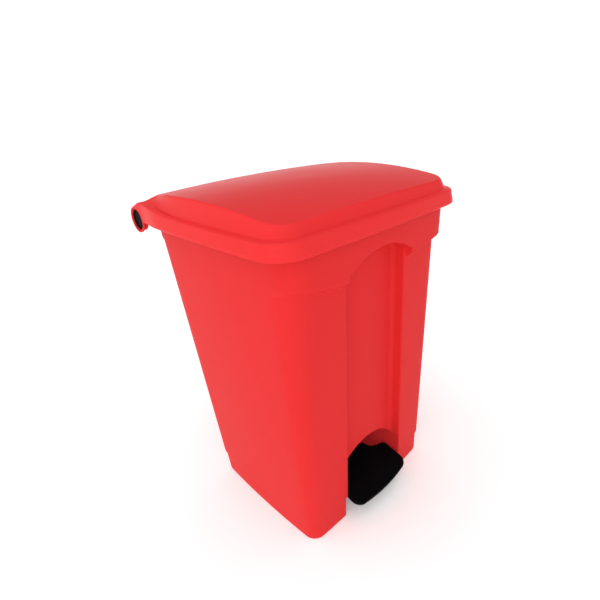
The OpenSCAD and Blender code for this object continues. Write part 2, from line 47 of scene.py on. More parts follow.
# ---------------------------------------------------------------- dimensions, in millimetres
BOW = 4.5
WALL = 3.0
SKIRT_Z = 541.8
RIM_Z = 557.0
BASE_W, BASE_D, BASE_Y, BASE_R = 335.0, 290.0, -24.0, 24.0
TOP_W, TOP_D, TOP_Y, TOP_R = 366.0, 342.0, -5.4, 34.0
PLINTH_H = 50.0
PLINTH_IN = 2.5
CHANNEL_BASE, CHANNEL_TOP = 78.0, 67.0
CHANNEL_DEPTH = 22.0
COLLAR = 12.0
COLLAR_Z = 467.0
ARCH_SPRING, ARCH_CROWN = 489.0, 514.0
OPEN_OUT = 5.2
HINGE_Y, HINGE_Z = 178.5, 543.5
HOOD_R = 21.5
FRONT_Y = -200.0
LID_W = 410.0
LID_WALL = 2.6
LEDGE_Z = 563.8
TOP_Z = 599.4


def mix(a, b, z):
    """From a at the floor to b at the skirt's height."""
    return a + (b - a) * z / SKIRT_Z


def ramp(a, b, t):
    t = min(1.0, max(0.0, (t - a) / (b - a)))
    return t * t * (3 - 2 * t)


# ---------------------------------------------------------------- mesh helpers
def new_object(name, verts, faces):
    """A mesh object from points in millimetres."""
    mesh = bpy.data.meshes.new(name)
    mesh.from_pydata([tuple(c * MM for c in v) for v in verts], [], faces)
    mesh.update()
    obj = bpy.data.objects.new(name, mesh)
    scene.collection.objects.link(obj)
    return obj


def rings_faces(n, m):
    """The quads between m rings of n points each."""
    faces = []
    for k in range(m - 1):
        for i in range(n):
            j = (i + 1) % n
            a = k * n
            b = a + n
            faces.append((a + i, a + j, b + j, b + i))
    return faces


def recalc(obj):
    bm = bmesh.new()
    bm.from_mesh(obj.data)
    bmesh.ops.recalc_face_normals(bm, faces=bm.faces)
    bm.to_mesh(obj.data)
    bm.free()


def loft(name, rings, caps=True):
    """A surface through rings with the same number of points, closed at both ends if caps."""
    n = len(rings[0])
    verts = [tuple(p) for ring in rings for p in ring]
    faces = rings_faces(n, len(rings))
    if caps:
        faces.append(tuple(range(n - 1, -1, -1)))
        faces.append(tuple(range((len(rings) - 1) * n, len(rings) * n)))
    obj = new_object(name, verts, faces)
    if caps:
        recalc(obj)
    return obj


def bake_modifiers(obj):
    deps = bpy.context.evaluated_depsgraph_get()
    deps.update()
    mesh = bpy.data.meshes.new_from_object(obj.evaluated_get(deps))
    obj.modifiers.clear()
    old = obj.data
    obj.data = mesh
    bpy.data.meshes.remove(old)


def boolean(obj, cutter, operation="DIFFERENCE"):
    """Apply cutter to obj and delete it."""
    mod = obj.modifiers.new("cut", "BOOLEAN")
    mod.operation = operation
    mod.solver = "EXACT"
    mod.object = cutter
    bpy.context.view_layer.update()
    bake_modifiers(obj)
    bpy.data.objects.remove(cutter, do_unlink=True)


def smooth(obj, degrees):
    """Shade the faces smooth, apart from edges sharper than degrees."""
    bm = bmesh.new()
    bm.from_mesh(obj.data)
    bmesh.ops.remove_doubles(bm, verts=bm.verts, dist=1e-6)
    limit = math.radians(degrees)
    for face in bm.faces:
        face.smooth = True
    for edge in bm.edges:
        sharp = len(edge.link_faces) == 2 and edge.calc_face_angle(0) > limit
        edge.smooth = not sharp
    bm.to_mesh(obj.data)
    bm.free()


def revolve(name, profile, steps=64):
    """Turn a closed (radius, height) profile about the Z axis."""
    rings = []
    for i in range(steps):
        a = 2 * math.pi * i / steps
        rings.append([(r * math.cos(a), r * math.sin(a), h) for r, h in profile])
    n = len(profile)
    verts = [p for ring in rings for p in ring]
    faces = []
    for k in range(steps):
        for i in range(n - 1):
            a = k * n + i
            b = ((k + 1) % steps) * n + i
            faces.append((a, b, b + 1, a + 1))
    obj = new_object(name, verts, faces)
    bm = bmesh.new()
    bm.from_mesh(obj.data)
    bmesh.ops.remove_doubles(bm, verts=bm.verts, dist=1e-7)
    bmesh.ops.recalc_face_normals(bm, faces=bm.faces)
    bm.to_mesh(obj.data)
    bm.free()
    return obj


def rounded_path(points, radii, steps=5):
    """A polyline whose corners are rounded with the radii given."""
    out = []
    last = len(points) - 1
    for i, p in enumerate(points):
        p = Vector(p)
        r = radii[i]
        if i in (0, last) or r <= 0:
            out.append(tuple(p))
            continue
        a = Vector(points[i - 1]) - p
        b = Vector(points[i + 1]) - p
        half = a.angle(b) / 2
        cut = min(r / math.tan(half), 0.49 * a.length, 0.49 * b.length)
        s = p + a.normalized() * cut
        e = p + b.normalized() * cut
        for k in range(steps + 1):
            t = k / steps
            out.append(tuple(s * (1 - t) ** 2 + p * 2 * t * (1 - t) + e * t * t))
    return out


# ---------------------------------------------------------------- container
def step_depth(d, depth, inner_r, wall_run, outer_r):
    """Depth below the outer face at distance d outside an edge that drops to depth."""
    if d <= -wall_run - inner_r:
        return depth
    if d < -wall_run:
        t = (d + wall_run + inner_r) / inner_r
        return depth - inner_r * (1 - math.sqrt(max(0.0, 1 - t * t)))
    if d < 0:
        t = -d / wall_run
        return outer_r + (depth - inner_r - outer_r) * t
    if d < outer_r:
        t = 1 - d / outer_r
        return outer_r * (1 - math.sqrt(max(0.0, 1 - t * t)))
    return 0.0


def arch_z(x, grow=0.0):
    half = 72.4
    rise = ARCH_CROWN - ARCH_SPRING
    r = (half * half + rise * rise) / (2 * rise)
    x = min(abs(x), half)
    return ARCH_CROWN - r + math.sqrt(r * r - x * x) + grow


def collar_low(x):
    ax = abs(x)
    z = COLLAR_Z + 0.17 * max(0.0, ax - 67)
    if ax < 82:
        t = min(1.0, (82 - ax) / 10)
        z += 10 - 10 * math.sqrt(max(0.0, 1 - t * t))
    return z


FRONT_COLS = 11
CORNER_COLS = 14
SIDE_COLS = 22
REAR_CORNER_COLS = 8
REAR_COLS = 12
FILLET_IN, RUN, EDGE = 8.5, 0.8, 2.6


def column_xs(z, grow, corner_x):
    """The x of every column across half of the front at height z, from the middle outward."""
    hw = mix(CHANNEL_BASE, CHANNEL_TOP, z) + grow
    hw += PLINTH_IN * (1 - ramp(PLINTH_H - 0.5, PLINTH_H + 2.5, z))
    xo = hw + OPEN_OUT
    xs = [(hw - FILLET_IN - RUN) * k / 9 for k in range(9)]
    xs += [hw - RUN - FILLET_IN + FILLET_IN * math.sin(math.pi / 2 * k / 7) for k in range(8)]
    xs += [hw - RUN * 0.5]
    xs += [hw + EDGE * (1 - math.cos(math.pi / 2 * k / 4)) for k in range(5)]
    xs += [xo - 0.9, xo - 0.45]
    xs += [xo + EDGE * (1 - math.cos(math.pi / 2 * k / 4)) for k in range(5)]
    start = xs[-1]
    xs += [start + (corner_x - start) * k / FRONT_COLS for k in range(1, FRONT_COLS)]
    return xs, hw, xo


def front_depth(x, z, hw, xo, grow, channel):
    """How far the front lies behind the collar's face."""
    ax = abs(x)
    zc = collar_low(ax)
    t = (z - zc) / COLLAR
    t = min(1.0, max(0.0, t))
    soft = 0.12
    if t < soft:
        t = t * t / (2 * soft)
    elif t > 1 - soft:
        t = 1 - soft - (1 - t) ** 2 / (2 * soft)
    else:
        t = t - soft / 2
    chamfer = COLLAR * (1 - t / (1 - soft))
    if not channel:
        return chamfer
    opening = step_depth(ax - xo, COLLAR, 0.4, 0.5, EDGE)
    chan = step_depth(ax - hw, CHANNEL_DEPTH, FILLET_IN, RUN, EDGE)
    depth = max(chamfer, opening) + chan
    over = z - arch_z(ax, grow)
    return min(depth, step_depth(over, COLLAR + CHANNEL_DEPTH, FILLET_IN, RUN, EDGE))


def warp_z(x, z, grow):
    """Bend the rows so that they follow the collar's lower edge and the arch."""
    ax = abs(x)
    near = ramp(67.5, 72.0, ax)
    low = (collar_low(max(ax, 72.4)) - COLLAR_Z) * near
    w = ramp(425, 462, z) * (1 - ramp(482, 526, z))
    high = arch_z(ax) - ARCH_SPRING
    v = ramp(430, 474, z) * (1 - ramp(496, 545, z))
    return z + low * w + high * v


def body_ring(z, inset=0.0, front=0.0, rear=0.0, grow=0.0, channel=True, flat=False):
    """One ring of the container at height z, counter-clockwise from the middle of the front."""
    def size(zz):
        w = mix(BASE_W, TOP_W, zz) - 2 * inset - 2 * BOW
        d = mix(BASE_D, TOP_D, zz) - 2 * inset + rear - 2 * BOW
        r = mix(BASE_R, TOP_R, zz) - inset
        yc = mix(BASE_Y, TOP_Y, zz) + rear / 2
        return w, d, r, yc

    w, d, r, yc = size(z)
    xs, hw, xo = column_xs(z, grow, w / 2 - r)
    flat_pts = [("f", x) for x in xs]
    flat_pts += [("c", k / CORNER_COLS) for k in range(CORNER_COLS + 1)]
    flat_pts += [("s", k / SIDE_COLS) for k in range(1, SIDE_COLS)]
    flat_pts += [("k", k / REAR_CORNER_COLS) for k in range(REAR_CORNER_COLS + 1)]
    flat_pts += [("r", k / REAR_COLS) for k in range(1, REAR_COLS + 1)]
    half = []
    for kind, t in flat_pts:
        x_guess = t if kind == "f" else w / 2
        if kind == "c":
            x_guess = w / 2 - r + r * math.sin(math.pi / 2 * t)
        weight = 1.0
        if kind == "s":
            weight = max(0.0, 1 - 1.6 * t)
        if kind in "kr":
            weight = 0.0
        zz = z if flat else z + (warp_z(x_guess, z, grow) - z) * weight
        ww, dd, rr, yy = size(zz)
        if kind == "f":
            p = (t, -dd / 2)
        elif kind == "c":
            a = math.pi / 2 * t
            p = (ww / 2 - rr + rr * math.sin(a), -dd / 2 + rr - rr * math.cos(a))
        elif kind == "s":
            p = (ww / 2, -dd / 2 + rr + (dd - 2 * rr) * t)
        elif kind == "k":
            a = math.pi / 2 * t
            p = (ww / 2 - rr + rr * math.cos(a), dd / 2 - rr + rr * math.sin(a))
        else:
            p = ((ww / 2 - rr) * (1 - t), dd / 2)
        u, v = 2 * p[0] / ww, 2 * p[1] / dd
        x = p[0] + BOW * abs(u) ** 3 * (1 - v * v)
        y = yy + p[1] + BOW * math.copysign(abs(v) ** 3, v) * (1 - u * u)
        if kind in "fcs" and front > 0:
            depth = front_depth(x, zz, hw, xo, grow, channel and kind == "f")
            y += (depth - COLLAR) * weight * front / COLLAR
        elif kind == "f" and channel:
            y += step_depth(x - hw, CHANNEL_DEPTH, FILLET_IN, RUN, EDGE)
        half.append((x, y, zz))
    left = [(-x, y, zz) for x, y, zz in half[1:-1]]
    return half + left[::-1]


def row_heights(low, high):
    """Heights of the container's rows from low to high, closer together where its shape changes."""
    rows = [1.5, 2.2, 4, 12, 30, 44, 48.6, 49.6, 50.2, 50.8, 51.5, 52.2, 53, 55, 62, 75]
    rows += list(np.arange(92, 432, 17.0))
    rows += [432, 441, 449, 456, 462, 465, 466.4, 467.2, 468, 469, 470.4, 472, 474, 476, 477.4, 478.4, 479.2]
    near_spring = (-9.3, -8.2, -6.8, -5.4, -4, -2.8, -1.8, -1.2, -0.8, -0.4, 0, 0.1, 0.4, 0.9, 1.7, 2.6, 4)
    rows += [ARCH_SPRING + e for e in near_spring]
    rows += [497, 501, 506, 510.4, 511.6, 513, 514.6, 516, 519, 522.5, 524.5, 526, 527.5, 529]
    rows += [532, 537, 541, 545]
    return sorted(set(round(float(z), 3) for z in rows if low <= z <= high))


def rear_growth(z):
    return 4 * ramp(511, 515.5, z) + 2 * ramp(524, 528, z) - 6 * ramp(532, 545, z)


def body_outer():
    rings = []
    for z in row_heights(1.5, 545):
        inset = PLINTH_IN * (1 - ramp(PLINTH_H - 0.5, PLINTH_H + 2.6, z))
        inset += 0.8 * (1 - ramp(1.0, 4.0, z))
        rings.append(body_ring(z, inset, COLLAR, rear_growth(z)))
    lip = 10.0
    lip_path = [(548, 0.2), (549.2, 2), (549.8, 5), (550.2, lip - 1), (551, lip - 0.2)]
    lip_path += [(555.8, lip), (556.7, lip - 0.5), (RIM_Z, lip - 1.4)]
    for z, g in lip_path:
        ring = body_ring(z, -g, COLLAR - 0.001, -(14 + g) * ramp(545, 550, z), flat=True)
        # The lip is narrower at the front, clear of the lid's skirt.
        narrow = 4.4 * ramp(546, 549, z)
        rings.append([(x, y + narrow * max(0.0, -y / 198) ** 4, zz) for x, y, zz in ring])
    return loft("container_body", rings)


def body_inner():
    rings = []
    for z in [25.0, 25.8, 27.5, 31] + row_heights(44, 545):
        inset = WALL + 4 * (1 - ramp(24, 32, z))
        rings.append(body_ring(z + 3 * ramp(440, 470, z), inset, COLLAR, 0, WALL))
    for z in (556, 570):
        rings.append(body_ring(z, WALL, COLLAR - 0.001, -8 * ramp(545, 556, z), WALL, flat=True))
    return loft("inside", rings)


def tunnel_solid(grow, low):
    sections = ((-230, 77.5), (-150, 77.0), (-88, 70.0), (-20, 70.0))
    rings = []

    def arch(y, half, spring, crown):
        h = half + grow
        rise = crown + grow - spring
        r = (h * h + rise * rise) / (2 * rise)
        a = math.asin(min(1.0, h / r))
        pts = [(-h, y, low), (h, y, low)]
        n = 28
        return pts + [(r * math.sin(a - 2 * a * i / n), y, crown + grow - r + r * math.cos(a - 2 * a * i / n))
                      for i in range(n + 1)]

    for y, half in sections:
        r = 90.7
        spring = 131 - r + math.sqrt(r * r - half * half)
        rings.append(arch(y, half, spring, 131))
    for k in range(1, 9):
        t = ramp(0, 8, k)
        rings.append(arch(-20 + 60 * k / 8, 70 - 24 * t, 98 - 34 * t, 131 - 34 * t))
    rings.append(arch(300, 46, 64, 97))
    return loft("tunnel", rings)


def groove_solid(grow, low=-5.0):
    h = 24 + grow
    rings = []
    for z, y in ((low, 97 - grow), (562 + 10, 141 - grow)):
        far = 300
        c = 5
        pts = [(-h, far, z), (-h, y + c, z)]
        pts += [(-h + c - c * math.cos(a), y + c - c * math.sin(a), z) for a in (0.4, 0.8, 1.2)]
        pts += [(-h + c, y, z), (h - c, y, z)]
        pts += [(h - c + c * math.sin(a), y + c - c * math.cos(a), z) for a in (0.4, 0.8, 1.2)]
        pts += [(h, y + c, z), (h, far, z)]
        rings.append(pts)
    return loft("groove", rings)


LUG_R, NECK_R, LUG_L = 19, 12.5, 44.7
LUG_OUT_X = 196.0


def lug_parts():
    """Hinge lugs with the webs below them, and pads behind the pivot blocks."""
    parts = []
    for s in (-1, 1):
        outline = [(0, 0), (LUG_R, 0), (LUG_R, 9), (NECK_R, 12), (NECK_R, LUG_L), (0, LUG_L)]
        drum = revolve("lug", rounded_path(outline, [0, 1.2, 0.5, 2, 0, 0]), 72)
        turn = Matrix.Rotation(-s * math.pi / 2, 4, "Y")
        drum.data.transform(Matrix.Translation(Vector((s * LUG_OUT_X, HINGE_Y, HINGE_Z)) * MM) @ turn)
        parts.append(drum)
        web = [(157, 520), (HINGE_Y - 2, 525.5), (HINGE_Y - 2, HINGE_Z)]
        web += [(HINGE_Y - 17, HINGE_Z), (157, 535)]
        x0 = 152.1 if s > 0 else -158.1
        parts.append(loft("web", [[(x, y, z) for y, z in web] for x in (x0, x0 + 6)]))
        pad = revolve("pad", rounded_path([(0, 0), (22, 0), (22, 8), (0, 8)], [0, 0, 1, 0]), 48)
        turn = Matrix.Rotation(s * math.pi / 2, 4, "Y")
        pad.data.transform(Matrix.Translation(Vector((s * 71.0, -60, 54)) * MM) @ turn)
        parts.append(pad)
    return parts


def bore_parts():
    parts = []
    for s in (-1, 1):
        turn = Matrix.Rotation(-s * math.pi / 2, 4, "Y")
        bore = revolve("bore", [(0, -2), (17.3, -2), (17.3, 5), (8, 5), (8, 61), (0, 61)], 72)
        bore.data.transform(Matrix.Translation(Vector((s * LUG_OUT_X, HINGE_Y, HINGE_Z)) * MM) @ turn)
        parts.append(bore)
        room = revolve("room", [(0, 0), (21, 0), (21, 8), (0, 8)], 64)
        room.data.transform(Matrix.Translation(Vector((s * 150.0, HINGE_Y, HINGE_Z)) * MM) @ turn)
        parts.append(room)
    return parts


def make_container():
    body = body_outer()
    inner = body_inner()
    boolean(inner, tunnel_solid(WALL, -20))
    boolean(inner, groove_solid(WALL, -20))
    foot = loft("foot", [body_ring(z, PLINTH_IN + WALL, COLLAR, 0, WALL) for z in (-3.0, 22.0)])
    boolean(foot, tunnel_solid(WALL, -20))
    boolean(foot, groove_solid(WALL, -20))
    boolean(body, inner)
    boolean(body, foot)
    for part in lug_parts():
        boolean(body, part, "UNION")
    boolean(body, tunnel_solid(0, -6))
    boolean(body, groove_solid(0))
    for part in bore_parts():
        boolean(body, part)
    return body


container = make_container()
smooth(container, 33)
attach(container, "container")
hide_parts("container")


# ---------------------------------------------------------------- lid
LID_D = HINGE_Y - FRONT_Y
LID_Y = (HINGE_Y + FRONT_Y) / 2
CUT_Y = 156.0
LID_TAPER = 4.6


def lid_ring(inset):
    """The lid's outline moved in by inset, counter-clockwise from the middle of the front."""
    w = LID_W - 2 * inset - 2 * BOW
    d = LID_D - 2 * inset - 2 * BOW
    rf = max(8.0, 42 - 0.6 * inset)
    rr = max(3.0, 10 - 0.2 * inset)
    half = [((w / 2 - rf) * k / 20, -d / 2) for k in range(21)]
    for k in range(1, 17):
        a = math.pi * k / 32
        half.append((w / 2 - rf + rf * math.sin(a), -d / 2 + rf - rf * math.cos(a)))
    half += [(w / 2, -d / 2 + rf + (d - rf - rr) * k / 24) for k in range(1, 25)]
    for k in range(1, 7):
        a = math.pi * k / 12
        half.append((w / 2 - rr + rr * math.cos(a), d / 2 - rr + rr * math.sin(a)))
    half += [((w / 2 - rr) * (1 - k / 16), d / 2) for k in range(1, 17)]
    out = []
    for x, y in half:
        u, v = 2 * x / w, 2 * y / d
        x += BOW * abs(u) ** 3 * (1 - v * v)
        y += LID_Y + BOW * math.copysign(abs(v) ** 3, v) * (1 - u * u)
        out.append((x - LID_TAPER * ramp(90, CUT_Y, y) * ramp(120, 180, x), y))
    left = [(-x, y) for x, y in out[1:-1]]
    return out + left[::-1]


SIDE_COLUMNS = 60
AXIS_STEPS = 72
DRUM_R = 19.38
EAR_R, EAR_HALF, EAR_MID_X = 19.9, 3, 146
BOSS_X, BOSS_Y, BOSS_R = 19, 150.2, 6


def panel_z(x, y):
    """Height of the lid's top panel, ignoring the bevel round it."""
    return TOP_Z - 3.6 * (x / 160) ** 2 - 15 * ((y + 8) / 165) ** 2


def smooth_min(a, b, k):
    """The smaller of a and b, rounded over k where they meet."""
    h = max(k - abs(a - b), 0.0) / k
    return min(a, b) - h * h * k / 4


def top_z(x, y, inset):
    """Height of the lid's top: the panel, or the bevel round it, which widens near the hinge."""
    crease = 18.5 + 12 * ramp(40, CUT_Y, y)
    foot = LEDGE_Z + 1.4 + 9.5 * ramp(60, 150, y)
    panel = panel_z(x, y)
    bevel = foot + (panel - foot) * max(0.0, inset - 12) / (crease - 12)
    return smooth_min(panel, bevel, 3.4)


def side_inset(x, y):
    """How far (x, y) is inside the lid's side edge, near the hinge."""
    return max(0.0, 201.5 - LID_TAPER * ramp(90, CUT_Y, y) * ramp(120, 180, abs(x)) - abs(x))


def lid_rings(t):
    """The rings of the lid's outer face, or of its inner face when t is the wall's thickness."""
    if t:
        corners = [(t, SKIRT_Z - 1), (t, SKIRT_Z + 4.2 - t / 2), (0.9 + t, SKIRT_Z + 8.4 - t / 2)]
        corners += [(3.2 + t, LEDGE_Z - t), (11.2 + t, LEDGE_Z + 1.0 - t)]
        path = rounded_path(corners, [0, 0.5, 0.5, 1.2, 0], 4)
    else:
        corners = [(1.2, SKIRT_Z), (0, SKIRT_Z + 1.0), (0, SKIRT_Z + 4.6), (0.9, SKIRT_Z + 8.4)]
        corners += [(3.2, LEDGE_Z), (11.0, LEDGE_Z + 1.2)]
        path = rounded_path(corners, [0, 0.6, 1.6, 2.4, 3.4, 0], 5)
    rings = []
    for i, z in path:
        ring = []
        for (x, y), (x2, y2) in zip(lid_ring(i), lid_ring(t + 0.3 * max(0, i - t - 3.2))):
            fade = ramp(40, CUT_Y - 8, y) * ramp(140, 170, abs(x))
            part = (z + t - SKIRT_Z) / (LEDGE_Z + 1.2 - SKIRT_Z)
            z2 = SKIRT_Z + (LEDGE_Z + 10.9 - SKIRT_Z) * part - t
            rise = (z2 - z) * fade * ramp(0, 0.3, part)
            ring.append((x + (x2 - x) * fade, y + (y2 - y) * fade, z + rise))
        rings.append(ring)
    insets = [12, 12.4, 13, 13.8, 14.6, 15.4, 16.2, 17, 17.8, 18.6, 19.4, 20.4, 21.6, 23, 25]
    insets += [27.5 + 2.5 * k for k in range(32)] + [115 + 10 * k for k in range(6)]
    for inset in insets:
        outer = lid_ring(inset)
        placed = lid_ring(inset + t)
        n = len(outer)
        ring = []
        for k, (x, y) in enumerate(outer):
            q = min(k, n - k)
            eff = inset if q <= SIDE_COLUMNS else side_inset(x, y)
            ring.append((placed[k][0], placed[k][1], top_z(x, y, eff) - t))
        rings.append(ring)
    return rings


def hood_section(x):
    """Outer points of the lid behind CUT_Y at x: down the back slope and round the hinge."""
    z0 = top_z(x, CUT_Y, side_inset(x, CUT_Y))
    dy, dz = HINGE_Y - CUT_Y, HINGE_Z - z0
    dist = math.hypot(dy, dz)
    slope = math.atan2(dz, dy) + math.asin(HOOD_R / dist)
    touch = slope + math.pi / 2
    run = math.sqrt(dist * dist - HOOD_R * HOOD_R)
    end = math.radians(-10)
    pts = []
    for k in range(8):
        t = k / 8
        sag = 1.2 * (1 - t) ** 2 * t * 3
        d = run * t
        y = CUT_Y + d * math.cos(slope) + sag * math.cos(touch)
        z = z0 + d * math.sin(slope) + sag * math.sin(touch)
        pts.append((y, z, touch))
    for k in range(25):
        a = touch + (end - touch) * k / 24
        pts.append((HINGE_Y + HOOD_R * math.cos(a), HINGE_Z + HOOD_R * math.sin(a), a))
    return pts


def make_hood():
    cols = [-197 + 394 * k / 48 for k in range(49)]
    rings = []
    for x in cols:
        outer = hood_section(x)
        inner = []
        for y, z, a in outer:
            r = 2.1 if y > CUT_Y + 0.01 else LID_WALL
            yy, zz = y - r * math.cos(a), z - r * math.sin(a)
            if y <= CUT_Y + 0.01:
                yy, zz = y, z - LID_WALL
            inner.append((x, max(yy, CUT_Y) if y < HINGE_Y - 8 else yy, zz))
        rings.append([(x, y, z) for y, z, a in outer] + inner[::-1])
    return loft("hood", rings)


def box_solid(name, low, high):
    (a, b, c), (d, e, f) = low, high
    return loft(name, [[(a, b, z), (d, b, z), (d, e, z), (a, e, z)] for z in (c, f)])


def make_lid():
    outer = lid_rings(0)
    inner = lid_rings(LID_WALL)
    n = len(outer[0])
    shell = loft("lid_shell", outer + inner[::-1], caps=False)
    bm = bmesh.new()
    bm.from_mesh(shell.data)
    bm.verts.ensure_lookup_table()
    total = len(outer) + len(inner)
    for row in (len(outer) - 1, len(outer)):
        bm.faces.new([bm.verts[row * n + i] for i in range(n)])
    for i in range(n):
        j = (i + 1) % n
        a = (total - 1) * n
        bm.faces.new([bm.verts[a + i], bm.verts[a + j], bm.verts[j], bm.verts[i]])
    row = len(outer) - 1
    quads = [f for f in bm.faces if len(f.verts) == 4]
    doomed = [f for f in quads if {v.index // n for v in f.verts} == {row, row + 1}]
    bmesh.ops.delete(bm, geom=doomed, context="FACES_ONLY")
    bmesh.ops.recalc_face_normals(bm, faces=bm.faces)
    bm.to_mesh(shell.data)
    bm.free()
    boolean(shell, box_solid("behind", (-230, CUT_Y, 500), (230, 260, 640)))
    boolean(shell, box_solid("room", (-194.2, 138.5, 500), (194.2, 200, 562)))
    boolean(shell, make_hood(), "UNION")
    for s in (-1, 1):
        outer = [(y, z) for y, z, a in hood_section(196)]
        outline = [(y, z - 0.02) for y, z in outer] + [(HINGE_Y, SKIRT_Z)]
        outline += [(CUT_Y - 0.4, SKIRT_Z), (CUT_Y - 0.4, outer[0][1] - 1)]
        ends = sorted((s * 194.4, s * 196.98))
        boolean(shell, loft("web", [[(x, y, z) for y, z in outline] for x in ends]), "UNION")
        boolean(shell, axis_tube("ring", 19.0, HOOD_R, 1.29, s * 195.68), "UNION")
        turns = [math.pi * k / 20 for k in range(40)]
        boss = [(s * BOSS_X + BOSS_R * math.cos(a), BOSS_Y + BOSS_R * math.sin(a)) for a in turns]
        boolean(shell, loft("boss", [[(x, y, z) for x, y in boss] for z in (562, 583.6)]), "UNION")
    boolean(shell, axis_disc("drum", DRUM_R, 197.5))
    for s in (-1, 1):
        boolean(shell, axis_tube("ear", 8.06, EAR_R, EAR_HALF, s * EAR_MID_X), "UNION")
    return shell


def axis_disc(name, radius, half):
    """A solid cylinder about the hinge's axis, half to each side of the middle."""
    turns = [2 * math.pi * i / AXIS_STEPS for i in range(AXIS_STEPS)]
    ring = [(radius * math.cos(a), radius * math.sin(a)) for a in turns]
    return loft(name, [[(x, HINGE_Y + p, HINGE_Z + q) for p, q in ring] for x in (-half, half)])


def axis_tube(name, r_in, r_out, half, centre):
    """A length of tube about the hinge's axis, half to each side of centre."""
    verts, faces = [], []
    for i in range(AXIS_STEPS):
        a = math.radians(360 * i / AXIS_STEPS)
        c, s = math.cos(a), math.sin(a)
        for x, r in ((-half, r_in), (-half, r_out), (half, r_out), (half, r_in)):
            verts.append((centre + x, HINGE_Y + r * c, HINGE_Z + r * s))
        j = (i + 1) % AXIS_STEPS
        for k in range(4):
            n = (k + 1) % 4
            faces.append((4 * i + k, 4 * i + n, 4 * j + n, 4 * j + k))
    obj = new_object(name, verts, faces)
    recalc(obj)
    return obj


lid = make_lid()
smooth(lid, 33)
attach(lid, "lid")
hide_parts("lid")


# ---------------------------------------------------------------- pedal
AXLE_Y, AXLE_Z = -60.0, 54.0
TREAD_TILT = math.radians(14)
FOOT_Y, FOOT_Z = 109.28, 36.0
EAR_X = 11.0


def tread_outline(shrink=0.0):
    """The tread plate's outline in its own tilted plane, from the middle of the front edge."""
    pts = [(54 * k / 10, 4 * (k / 10) ** 2) for k in range(11)]
    turns = [math.pi * k / 20 for k in range(1, 11)]
    pts += [(54 + 20 * math.sin(a), 24 - 20 * math.cos(a)) for a in turns]
    pts += [(74 - 0.3 * k, 24 + 8.5 * k) for k in range(1, 4)]
    turns = [math.pi * k / 12 for k in range(5)]
    pts += [(61 + 12 * math.cos(a), 58 + 12 * math.sin(a)) for a in turns]
    pts += [(57, 70.6), (50, 73.5), (44, 77.5), (40, 82.5), (38, 88), (37, 94)]
    right = []
    for x, y in pts:
        back = shrink * (1 if y < 30 else 0) * max(0.0, 1 - y / 40)
        right.append((max(0.0, x - shrink * min(1, x / 20)), y + back))
    return right


def make_pedal():
    front = FRONT_Y + 1

    def place(x, y, h):
        c, s = math.cos(TREAD_TILT), math.sin(TREAD_TILT)
        return (x, front + y * c - h * s, 41 + y * s + h * c)

    def tread_ring(shrink, h):
        right = tread_outline(shrink)
        pts = right + [(-x, y) for x, y in right[::-1] if x > 0]
        return [place(x, y, h) for x, y in pts]

    edge = ((2.0, -9), (0.4, -8.2), (0, -6.6), (0, -2.4), (0.5, -0.8), (1.4, -0.1), (2.2, 0.0))
    tread = loft("tread", [tread_ring(shrink, h) for shrink, h in edge])
    section = [(-37, -8), (-35, -10), (35, -10), (37, -8), (37, 2), (35, 4), (-35, 4), (-37, 2)]
    arm = loft("arm", [[(x, y, 54 + z) for x, z in section] for y in (AXLE_Y + 12, -100, -112, -126)])
    on_axle = Matrix.Translation(Vector((0, AXLE_Y, AXLE_Z)) * MM) @ Matrix.Rotation(math.pi / 2, 4, "Y")
    outline = rounded_path([(0, -37), (13, -37), (13, 37), (0, 37)], [0, 1.5, 1.5, 0])
    barrel = revolve("barrel", outline, 48)
    barrel.data.transform(on_axle)

    def lever(name, x, end_y, end_z, r_end, half=3.5):
        pts = []
        a0 = Vector((AXLE_Y, AXLE_Z))
        a1 = Vector((end_y, end_z))
        d = (a1 - a0)
        base = math.atan2(d.y, d.x)
        off = math.acos((12 - r_end) / d.length)
        for k in range(13):
            a = base + off + (2 * math.pi - 2 * off) * k / 12
            pts.append((a0.x + 12 * math.cos(a), a0.y + 12 * math.sin(a)))
        for k in range(13):
            a = base - off + 2 * off * k / 12
            pts.append((a1.x + r_end * math.cos(a), a1.y + r_end * math.sin(a)))
        return loft(name, [[(x + dx, p, q) for p, q in pts] for dx in (-half, half)])

    parts = [tread, arm, barrel]
    parts.append(lever("lever", EAR_X, FOOT_Y + 1.2, FOOT_Z, 9))
    parts.append(lever("brace", -EAR_X, FOOT_Y - 30, FOOT_Z + 3, 8))
    y0 = FOOT_Y - 36
    web = box_solid("web", (-11, y0, FOOT_Z - 3), (11, y0 + 8, FOOT_Z + 9))
    body = parts[0]
    for part in parts[1:] + [web]:
        boolean(body, part, "UNION")
    body.name = "foot_pedal"
    slot = []
    for k in range(24):
        a = 2 * math.pi * k / 24
        shift = 2.6 if math.cos(a) > 0 else 0
        slot.append((FOOT_Y + shift + 3.5 * math.cos(a), FOOT_Z + 3.5 * math.sin(a)))
    boolean(body, loft("slot", [[(x, y, z) for y, z in slot] for x in (5, 17)]))
    bore = revolve("bore", [(0, -80), (5, -80), (5, 80), (0, 80)], 48)
    bore.data.transform(on_axle)
    boolean(body, bore)
    return body


pedal = make_pedal()
smooth(pedal, 28)
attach(pedal, "pedal")
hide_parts("pedal")


# ---------------------------------------------------------------- hinge plugs
def make_pin(side):
    profile = [(0, 1.6), (8, 1.5), (12.4, 1.1), (13.2, 1.9), (14.2, 1.9), (15, 1.0), (16.2, 0.0)]
    profile += [(16.8, 0.5), (17, 1.4), (17, 4), (8, 4), (8, 57), (6.5, 60), (0, 60)]
    pin = revolve("hinge_pin", profile, 72)
    turn = Matrix.Rotation(-side * math.pi / 2, 4, "Y")
    pin.data.transform(Matrix.Translation(Vector((side * 195.0, HINGE_Y, HINGE_Z)) * MM) @ turn)
    smooth(pin, 40)
    return pin


